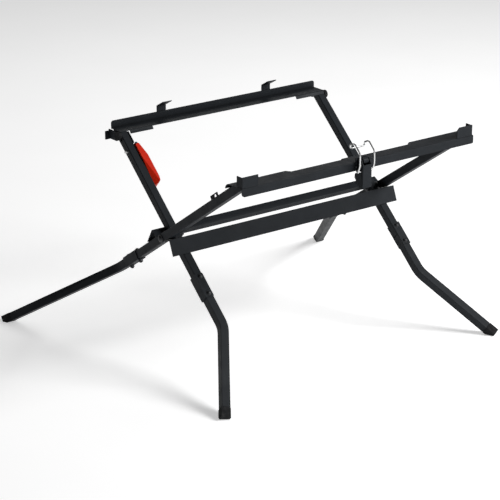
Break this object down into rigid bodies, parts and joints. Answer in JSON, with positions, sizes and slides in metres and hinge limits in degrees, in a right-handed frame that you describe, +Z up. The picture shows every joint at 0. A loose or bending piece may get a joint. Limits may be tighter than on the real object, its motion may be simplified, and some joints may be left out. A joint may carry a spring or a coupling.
{
  "type": "folding saw stand",
  "caption": "Folding X-frame stand for a bench saw: bent square-tube legs, two sheet rails with stops and hooks, a draw latch and a sprung fold lock.",
  "frame": {"origin": "on the floor, under the middle of the open stand's box", "axes": "+X to the right along the rails, +Y from the front rail to the rear rail, +Z up"},
  "size_m": [0.9932, 0.8014, 0.5464],
  "materials": {
    "black_powder_coat": "satin",
    "zinc_steel": "satin",
    "black_steel": "satin",
    "black_rubber": "matte",
    "red_plastic": "satin"
  },
  "bodies": {
    "inner_frame": {"inner_tube_left": "black_powder_coat", "inner_tube_right": "black_powder_coat", "front_leg_left": "black_powder_coat", "front_leg_right": "black_powder_coat", "front_splice_left": "black_powder_coat", "front_splice_right": "black_powder_coat", "front_splice_bolts": "black_steel", "front_splice_nuts": "black_steel", "front_foot_left": "black_rubber", "front_foot_right": "black_rubber", "rear_rail": "black_powder_coat", "saw_hook_left": "black_powder_coat", "saw_hook_right": "black_powder_coat", "front_cross_angle": "black_powder_coat", "storage_bracket_left": "black_powder_coat", "storage_bracket_right": "black_powder_coat", "storage_bumpers": "black_rubber", "pivot_bolts": "black_steel", "pivot_washers": "black_steel", "pivot_spacers": "black_steel", "pivot_nuts": "black_steel", "lever_bracket": "black_powder_coat", "lever_hinge_pin": "black_steel"},
    "outer_frame": {"outer_tube_left": "black_powder_coat", "outer_tube_right": "black_powder_coat", "rear_leg_left": "black_powder_coat", "rear_leg_right": "black_powder_coat", "rear_splice_left": "black_powder_coat", "rear_splice_right": "black_powder_coat", "rear_splice_bolts": "black_steel", "rear_splice_nuts": "black_steel", "rear_foot_left": "black_rubber", "rear_foot_right": "black_rubber", "front_rail": "black_powder_coat", "end_stop_left": "black_powder_coat", "end_stop_right": "black_powder_coat", "rear_cross_angle": "black_powder_coat", "pivot_bushes": "black_steel", "striker_plate": "black_powder_coat", "latch_base": "black_powder_coat", "latch_rivets": "black_steel", "latch_pivot_pin": "black_steel"},
    "latch_lever": {"latch_lever": "black_powder_coat"},
    "wire_bail": {"wire_bail": "zinc_steel"},
    "release_lever": {"release_lever": "red_plastic"},
    "lock_pin": {"lock_pin": "zinc_steel"}
  },
  "joints": [
    {"name": "fold", "type": "hinge", "parent": "inner_frame", "child": "outer_frame", "pos_m": [0, -0.05444, 0.303], "axis": [-1, 0, 0], "range_deg": [0, 99.5]},
    {"name": "latch_swing", "type": "hinge", "parent": "outer_frame", "child": "latch_lever", "pos_m": [-0.004, -0.37144, 0.505], "axis": [-1, 0, 0], "range_deg": [0, 100]},
    {"name": "bail_swing", "type": "hinge", "parent": "latch_lever", "child": "wire_bail", "pos_m": [-0.004, -0.37644, 0.483], "axis": [1, 0, 0], "range_deg": [0, 130]},
    {"name": "release_swing", "type": "hinge", "parent": "inner_frame", "child": "release_lever", "pos_m": [-0.2768, 0.12673, 0.46613], "axis": [0, -0.6691, 0.7431], "range_deg": [0, 26], "stiffness_Nm_per_rad": 0.6, "springref_deg": -17.19},
    {"name": "pin_slide", "type": "slide", "parent": "inner_frame", "child": "lock_pin", "axis": [1, 0, 0], "range_m": [0, 0.0062]}
  ],
  "couplings": [
    {"joint": "bail_swing", "follows": "latch_swing", "ratio": 1.3},
    {"joint": "pin_slide", "follows": "release_swing", "m_per_rad": 0.01366}
  ]
}
